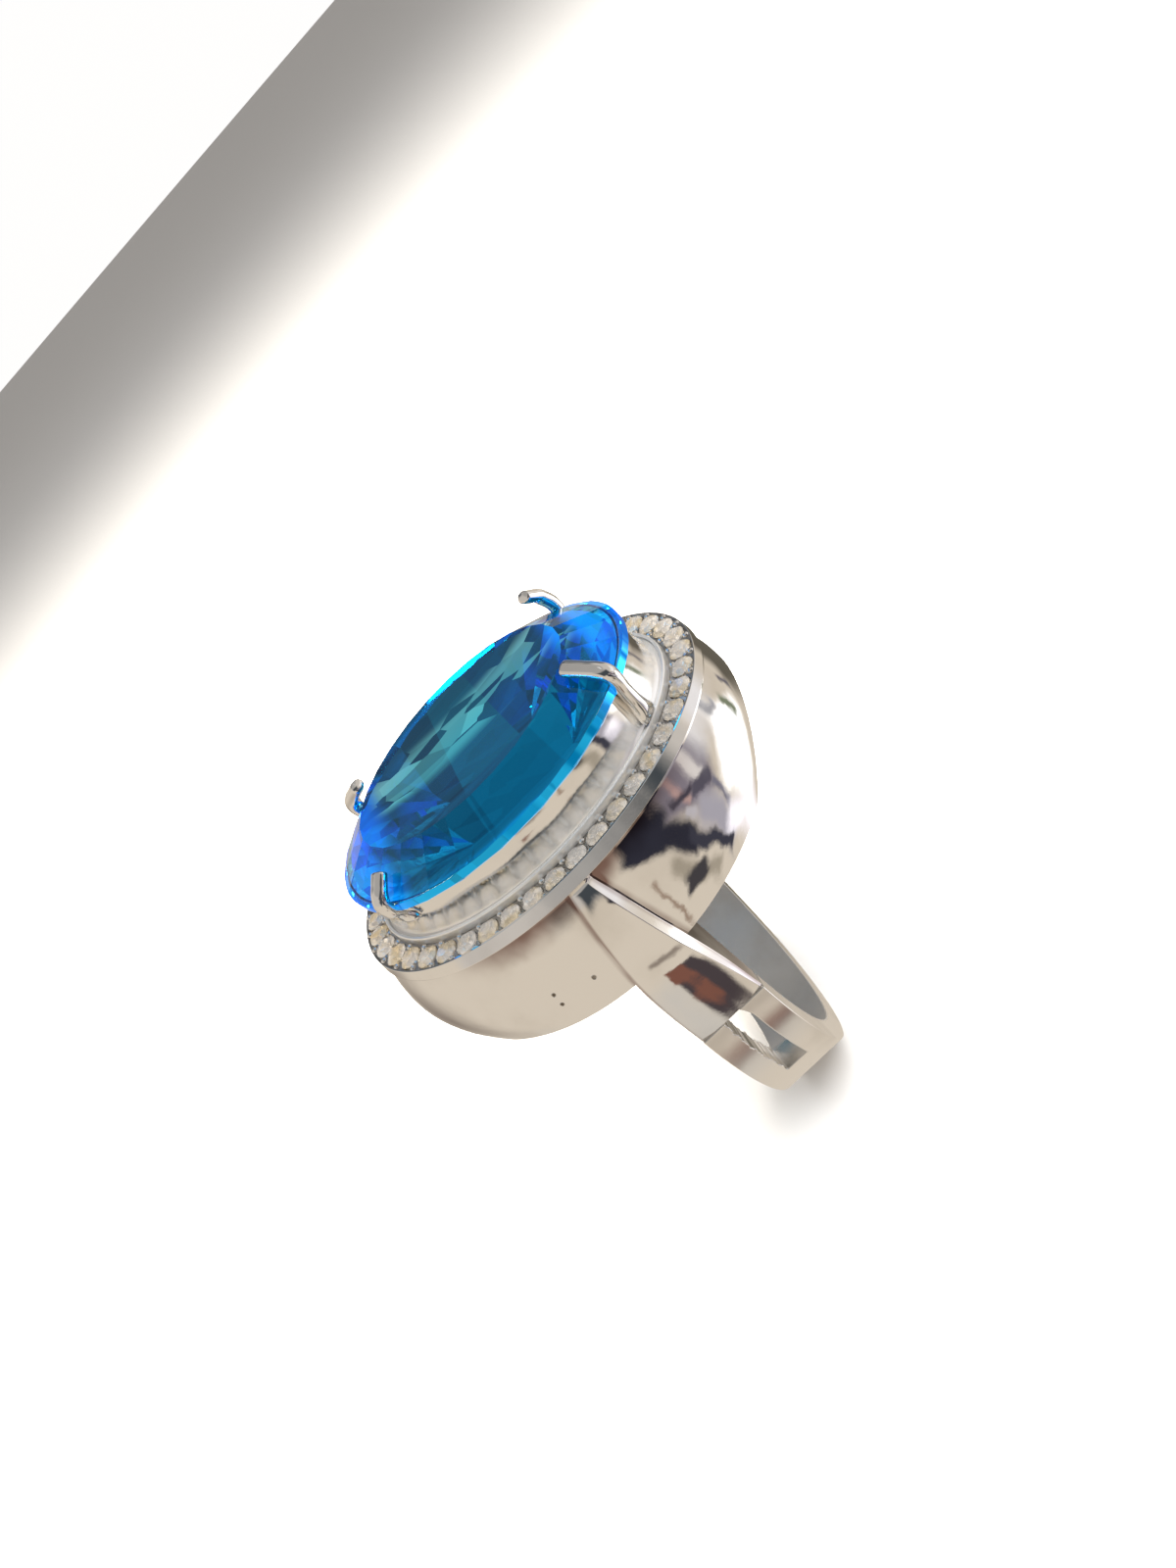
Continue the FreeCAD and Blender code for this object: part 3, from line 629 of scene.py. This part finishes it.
def makeClaw(name, node, signX, signY, leg=1.0, lift=0.0, reach=1.0, flat=1.0):
    # leg, reach and flat scale the leg's height, the fold's length and its rise; lift raises the fold
    turn = math.radians(claw["turn"])
    base = oval(*claw["girdle"], turn, 0)
    normal = outward(*claw["girdle"], turn)
    out = Vector((signX * normal.x, signY * normal.y, 0))
    foot = Vector((signX * base.x, signY * base.y, 0))
    side = Vector((-out.y, out.x, 0))
    path = smoothPath(claw["path"], claw["steps"])
    for point in path:
        below = claw["legTop"] - point[1]
        above = point[1] - claw["foldFrom"]
        if below > 0:
            point[0] -= (1 - leg) * 0.4 * min(below / 2, 1)
            point[1] = claw["legTop"] - below * leg
        elif above > 0:
            point[1] = claw["foldFrom"] + above * flat + lift * min(above, 0.5) * 2
            point[0] *= reach if point[0] < 0 else 1
    spots = [foot + out * p[0] + Vector((0, 0, p[1])) for p in path]
    bm = bmesh.new()
    angle = bm.verts.layers.float.new("angle")
    bmesh.ops.create_circle(bm, cap_ends=True, segments=claw["sides"], radius=1)
    for v in bm.verts:
        v[angle] = math.atan2(v.co.y, v.co.x)
    face = bm.faces[:][0]
    for index, (spot, (_, _, halfWidth, halfThick)) in enumerate(zip(spots, path)):
        if index:
            face = extrudeEnd(bm, face)
        before = spots[max(index - 1, 0)]
        after = spots[min(index + 1, len(spots) - 1)]
        run = (after - before).normalized()
        over = side.cross(run).normalized()
        for v in face.verts:
            a = v[angle]
            c, s = math.cos(a), math.sin(a)
            c = math.copysign(abs(c) ** claw["roundness"], c)
            s = math.copysign(abs(s) ** claw["roundness"] + claw["ridge"] * max(0, 1 - abs(c) * 3), s)
            v.co = spot + side * (halfWidth * c) + over * (halfThick * s)
    newPiece(name, bm, smoothSilver, [node], 50)


makeClaw("clawTipRight", "claw_tip_right", 1, 1, lift=-0.12)
makeClaw("clawTipLeft", "claw_tip_left", -1, 1, lift=0.30, reach=0.5)
makeClaw("clawKnuckleLeft", "claw_knuckle_left", -1, -1)
makeClaw("clawKnuckleRight", "claw_knuckle_right", 1, -1, leg=0.5, reach=0.6, flat=0.65)
print("claws made")


# centre stone: a smooth oval blank cut by one plane for each facet

stone = {
    "girdle": (9.15, 7.35), "edge": (14.7, 15.1), "table": 16.45, "tableShare": 0.72,
    "keel": 9.6, "keelHalf": 2.6, "crownFacets": 28, "backFacets": 24, "steepFacets": 40, "steep": 0.14,
    # faces that point less far up than this are mirrored; those that point level are the edge
    "backBelow": 0.3,
}


def cutFacet(bm, point, normal):
    bmesh.ops.bisect_plane(bm, geom=bm.verts[:] + bm.edges[:] + bm.faces[:], dist=1e-5,
                           plane_co=point, plane_no=normal, clear_outer=True)
    bmesh.ops.holes_fill(bm, edges=[e for e in bm.edges if e.is_boundary])


def makeCenterStone():
    length, width = stone["girdle"]
    low, high = stone["edge"]
    bm = bmesh.new()
    facet = bm.faces.layers.float.new("facet")
    bmesh.ops.create_cone(bm, cap_ends=True, segments=160, radius1=1, radius2=1, depth=1)
    for v in bm.verts:
        v.co = Vector((v.co.x * width, v.co.y * length, stone["table"] if v.co.z > 0 else stone["keel"]))
    for index in range(stone["crownFacets"]):
        turn = 2 * math.pi * index / stone["crownFacets"]
        base = oval(length, width, turn, high)
        out = outward(length, width, turn)
        run = (1 - stone["tableShare"]) * base.dot(out)
        cutFacet(bm, base, out * (stone["table"] - high) + Vector((0, 0, run)))
    for count, extra, shift in ((stone["backFacets"], 0, 0), (stone["steepFacets"], stone["steep"], 0.5)):
        for index in range(count):
            turn = 2 * math.pi * (index + shift) / count
            base = oval(length, width, turn, low)
            out = outward(length, width, turn)
            keel = Vector((0, max(-stone["keelHalf"], min(stone["keelHalf"], base.y * 0.8)), stone["keel"]))
            reach = out.dot(base - keel)
            slope = math.atan2(low - stone["keel"], reach) + extra
            cutFacet(bm, base, out * math.sin(slope) - Vector((0, 0, math.cos(slope))))
    dice = random.Random(11)
    bmesh.ops.dissolve_degenerate(bm, dist=1e-4, edges=bm.edges)
    bm.normal_update()
    for f in bm.faces:
        f[facet] = dice.random() if abs(f.normal.z) > stone["backBelow"] else 0.0
        if f.normal.z < stone["backBelow"]:
            f.material_index = 1
    piece = newPiece("centerStone", bm, blueStone, ["center_stone"], 3)
    piece.data.materials.append(facetBack)


makeCenterStone()
print("centre stone cut")


# nodes that keep their own shape

for name, item in nodes.items():
    item.data.materials.clear()
    if name == "center_stone":
        item.data.materials.append(blueStone)
    elif name.startswith("halo_stone"):
        item.data.materials.append(whiteStone)
    elif "grains" in name:
        item.data.materials.append(brightCut)
    elif name == "halo_tray":
        item.data.materials.append(castSilver)
    else:
        item.data.materials.append(polished)
print("kept nodes finished")


# stage: floor, lights, camera

stage = {
    "floor": ((0.80, 0.795, 0.785, 1), (0.82, 0.815, 0.805, 1)), "floorDrop": 0.0001, "floorRadius": 3,
    "backdrop": (1.0, 0.995, 0.985, 1),
    "room": (0.70, 0.62, 0.52, 1), "wallTop": (0.60, 0.56, 0.52, 1), "ceiling": (0.40, 0.385, 0.37, 1),
    # sines of the elevations between which one gives way to the next, and noise that bends the edges
    "wallFrom": (0.30, 0.42), "ceilingFrom": (0.74, 0.84), "bends": ((3.0, 0.10), (12.0, 0.06)),
    # soft panels and dark areas of the room: azimuth and elevation of both ends, half width, softness, colour
    "cards": [
        (215, -24, 252, -28, 9, 14, (0.30, 0.25, 0.21, 1)),
        (250, -52, 340, -50, 8, 8, (0.60, 0.57, 0.53, 1)),
        (132, -18, 182, -30, 12, 6, (0.13, 0.115, 0.09, 1)),
        (34, 16, 66, -10, 12, 5, (0.24, 0.21, 0.25, 1)),
        (47, -10, 66, -44, 6, 4, (0.42, 0.40, 0.46, 1)),
        (44, 10, 47, -4, 2, 2, (0.50, 0.33, 0.31, 1)),
        (56, 8, 58, -8, 3, 2, (0.75, 0.70, 0.68, 1)),
        (36, 8, 52, 0, 2, 1.5, (0.07, 0.06, 0.08, 1)),
        (40, -4, 46, -10, 2, 1.5, (0.55, 0.52, 0.56, 1)),
        (50, -2, 62, -12, 3, 1.5, (0.10, 0.09, 0.12, 1)),
        (60, -14, 66, -30, 2, 1.5, (0.20, 0.19, 0.24, 1)),
        (66, 6, 120, 4, 11, 8, (0.95, 0.93, 0.95, 1)),
        (78, -14, 110, -40, 13, 5, (2.3, 2.3, 2.35, 1)),
        (60, -32, 110, -55, 5, 4, (1.3, 1.25, 1.35, 1)),
        (86, -4, 97, -12, 1.5, 2, (0.42, 0.42, 0.46, 1)),
        (20, -8, 44, -42, 3.5, 2.5, (0.40, 0.35, 0.28, 1)),
        (9, -5, 13, -38, 0.7, 1, (0.35, 0.26, 0.20, 1)),
        (10, 20, 28, 4, 10, 2.5, (0.03, 0.03, 0.045, 1)),
        (24, 6, 38, -15, 5.5, 2, (0.03, 0.03, 0.045, 1)),
        (36, -10, 61, -46, 2.6, 1.5, (0.05, 0.05, 0.07, 1)),
        (103, -16, 112, -30, 2.5, 2, (0.22, 0.25, 0.17, 1)),
        (121, -18, 128, -28, 1.5, 1.5, (0.16, 0.15, 0.17, 1)),
        (340, -28, 2, -31, 2.5, 2, (0.30, 0.25, 0.21, 1)),
        (20, -22, 36, -27, 5, 2, (0.06, 0.055, 0.06, 1)),
        (325, 29, 55, 29, 16, 6, (0.06, 0.07, 0.08, 1)),
        (150, 32, 230, 32, 14, 6, (0.12, 0.13, 0.14, 1)),
        (140, 12, 220, 12, 11, 5, (0.10, 0.13, 0.18, 1)),
        (60, 62, 100, 64, 3, 3, (0.9, 0.9, 0.9, 1)),
        (351, -42, 349, -53, 6.5, 1.2, (0.07, 0.055, 0.06, 1)),
        (346, -41, 343, -50, 4.6, 0.8, (0.21, 0.09, 0.065, 1)),
    ],
}


def makeFloor():
    bm = bmesh.new()
    bmesh.ops.create_circle(bm, cap_ends=True, segments=96, radius=stage["floorRadius"])
    bmesh.ops.translate(bm, verts=bm.verts, vec=(0, 0, cadBox[0].z - stage["floorDrop"]))
    mesh = bpy.data.meshes.new("floor")
    bm.to_mesh(mesh)
    bm.free()
    floor = bpy.data.objects.new("floor", mesh)
    bpy.context.scene.collection.objects.link(floor)
    finish = Finish("paleFloor", Roughness=0.9, Specular_IOR_Level=0.1)
    finish.feed("Base_Color", finish.mix(finish.noise(400, 3), *stage["floor"]))
    mesh.materials.append(finish.material)
    floor.visible_glossy = False


lamps = {
    # place in metres, side of the square, watts, colour, kinds of ray that don't see it
    "key": ((0.10, 0.12, 0.30), 0.30, 2.6, (1, 1, 1), ("glossy", "transmission")),
    "spark": ((-0.135, -0.05, 0.26), 0.14, 1.5, (1, 0.93, 0.82), ("glossy",)),
}


def makeLight(name):
    place, side, power, colour, unseen = lamps[name]
    data = bpy.data.lights.new(name, "AREA")
    data.shape = "SQUARE"
    data.size = side
    data.energy = power
    data.color = colour
    lamp = bpy.data.objects.new(name, data)
    bpy.context.scene.collection.objects.link(lamp)
    lamp.location = place
    lamp.rotation_euler = (-Vector(place)).to_track_quat("-Z", "Y").to_euler()
    for kind in unseen:
        setattr(lamp, "visible_" + kind, False)


def heading(azimuth, elevation):
    a, e = math.radians(azimuth), math.radians(elevation)
    return Vector((math.cos(a) * math.cos(e), math.sin(a) * math.cos(e), math.sin(e)))


def makeWorld():
    world = bpy.data.worlds.new("studio")
    bpy.context.scene.world = world
    world.use_nodes = True
    tree = Nodes(world.node_tree)
    back = world.node_tree.nodes["Background"]
    direction = tree.node("ShaderNodeTexCoord", output=0)
    bent = direction
    for scale, amount in stage["bends"]:
        wander = tree.node("ShaderNodeTexNoise", None, {"Vector": direction, "Scale": scale, "Detail": 2}, 1)
        bent = tree.node("ShaderNodeVectorMath", {"operation": "MULTIPLY_ADD"},
                         {0: wander, 1: (amount,) * 3, 2: bent})
        bent = tree.node("ShaderNodeVectorMath", {"operation": "SUBTRACT"}, {0: bent, 1: (amount / 2,) * 3})
    bent = tree.node("ShaderNodeVectorMath", {"operation": "NORMALIZE"}, {0: bent})
    height = tree.node("ShaderNodeSeparateXYZ", None, {0: bent}, 2)
    colour = tree.mix(tree.band(height, *stage["wallFrom"]), stage["room"], stage["wallTop"])
    colour = tree.mix(tree.band(height, *stage["ceilingFrom"]), colour, stage["ceiling"])
    for startAzimuth, startElevation, endAzimuth, endElevation, half, soft, tone in stage["cards"]:
        start = heading(startAzimuth, startElevation)
        end = heading(endAzimuth, endElevation)
        middle = (start + end).normalized()
        run = (end - start).normalized()
        side = middle.cross(run)
        reach = (end - start).length / 2
        half, soft = math.radians(half), math.radians(soft)
        parts = [tree.node("ShaderNodeVectorMath", {"operation": "DOT_PRODUCT"}, {0: bent, 1: axis}, 1)
                 for axis in (run, side, middle)]
        alongShare = tree.band(parts[0].math("ABSOLUTE"), reach + soft, max(reach - soft, 0))
        acrossShare = tree.band(parts[1].math("ABSOLUTE"), half + soft, max(half - soft, 0))
        share = alongShare * acrossShare * parts[2].math("GREATER_THAN", 0)
        colour = tree.mix(share, colour, tone)
    seen = tree.node("ShaderNodeLightPath", output=0)
    colour = tree.mix(seen, colour, stage["backdrop"])
    world.node_tree.links.new(colour.socket, back.inputs["Color"])


view = {
    # place in millimetres
    "place": (51.65, 10.11, 40.28), "forward": (-0.8519, -0.1307, -0.5072), "up": (-0.4401, 0.7036, 0.5579),
    "lens": 37.94, "sensor": 36, "nearest": 0.001,
}


def makeCamera():
    data = bpy.data.cameras.new("camera")
    camera = bpy.data.objects.new("camera", data)
    bpy.context.scene.collection.objects.link(camera)
    data.sensor_fit = "HORIZONTAL"
    data.sensor_width = view["sensor"]
    data.lens = view["lens"]
    data.clip_start = view["nearest"]
    forward = Vector(view["forward"]).normalized()
    right = forward.cross(Vector(view["up"])).normalized()
    up = right.cross(forward)
    turned = Matrix((right, up, -forward)).transposed().to_4x4()
    camera.matrix_world = Matrix.Translation(Vector(view["place"]) * mm) @ turned
    bpy.context.scene.camera = camera


makeFloor()
makeLight("key")
makeLight("spark")
makeWorld()
makeCamera()
bpy.context.scene.view_settings.view_transform = "Standard"
print("stage made")
